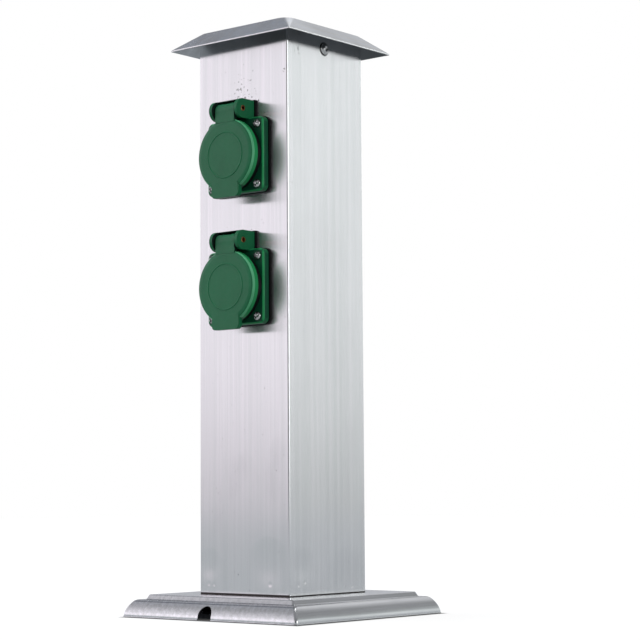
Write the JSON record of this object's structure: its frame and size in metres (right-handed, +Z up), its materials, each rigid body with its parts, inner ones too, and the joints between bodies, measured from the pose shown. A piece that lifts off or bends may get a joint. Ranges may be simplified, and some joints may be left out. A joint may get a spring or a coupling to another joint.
{
  "type": "garden socket post",
  "caption": "Square brushed steel garden post with a low roof, a flared foot cover and sprung hinged lids over earthed sockets.",
  "frame": {"origin": "centre of the foot on the ground", "axes": "+Z up along the column, the sockets face -Y, +X to the right seen from the front"},
  "size_m": [0.153, 0.153, 0.396],
  "materials": {
    "brushed_steel": "fine vertical brushing",
    "roof_steel": "fine brushing",
    "zinc_steel": "zinc plated",
    "screw_steel": "bright",
    "green_plastic": "satin moulded",
    "black_plastic": "satin moulded",
    "grey_plastic": "matt moulded",
    "white_plastic": "matt moulded",
    "black_rubber": "matt",
    "brass": "turned",
    "spring_steel": "drawn wire",
    "brown_pvc": "extruded",
    "blue_pvc": "extruded",
    "green_yellow_pvc": "extruded, striped"
  },
  "bodies": {
    "post": {"column_tube": "brushed_steel", "roof_hat": "roof_steel", "roof_strap": "zinc_steel", "roof_screws": "screw_steel", "base_cover": "brushed_steel", "anchor_plate": "zinc_steel", "foot_brackets": "zinc_steel", "foot_screws": "screw_steel", "terminal_bracket": "zinc_steel", "terminal_block": "white_plastic", "terminal_tubes": "brass", "terminal_clamp_screws": "screw_steel", "terminal_mount_screws": "screw_steel", "earth_stud": "screw_steel", "earth_nuts": "screw_steel", "earth_lug": "brass", "lead_line": "brown_pvc", "lead_neutral": "blue_pvc", "lead_earth": "green_yellow_pvc", "upper_gasket": "black_rubber", "upper_housing": "green_plastic", "upper_insert": "black_plastic", "upper_pin_plate": "black_plastic", "upper_insert_screw": "screw_steel", "upper_contact_carrier": "grey_plastic", "upper_line_contacts": "brass", "upper_earth_clip": "spring_steel", "upper_contact_screws": "screw_steel", "upper_flange_screws": "screw_steel", "upper_flange_nuts": "screw_steel", "upper_hinge_pin": "brass", "upper_lid_spring": "spring_steel", "lower_gasket": "black_rubber", "lower_housing": "green_plastic", "lower_insert": "black_plastic", "lower_pin_plate": "black_plastic", "lower_insert_screw": "screw_steel", "lower_contact_carrier": "grey_plastic", "lower_line_contacts": "brass", "lower_earth_clip": "spring_steel", "lower_contact_screws": "screw_steel", "lower_flange_screws": "screw_steel", "lower_flange_nuts": "screw_steel", "lower_hinge_pin": "brass", "lower_lid_spring": "spring_steel"},
    "upper_cover": {"upper_lid": "green_plastic", "upper_lid_seal": "black_rubber"},
    "lower_cover": {"lower_lid": "green_plastic", "lower_lid_seal": "black_rubber"}
  },
  "joints": [
    {"name": "upper_lid_hinge", "type": "hinge", "parent": "post", "child": "upper_cover", "pos_m": [0, -0.0528, 0.3362], "axis": [-1, 0, 0], "range_deg": [0, 105], "stiffness_Nm_per_rad": 0.02, "springref_deg": -28.65, "deforming": ["upper_lid_spring"]},
    {"name": "lower_lid_hinge", "type": "hinge", "parent": "post", "child": "lower_cover", "pos_m": [0, -0.0528, 0.2482], "axis": [-1, 0, 0], "range_deg": [0, 105], "stiffness_Nm_per_rad": 0.02, "springref_deg": -28.65, "deforming": ["lower_lid_spring"]}
  ]
}
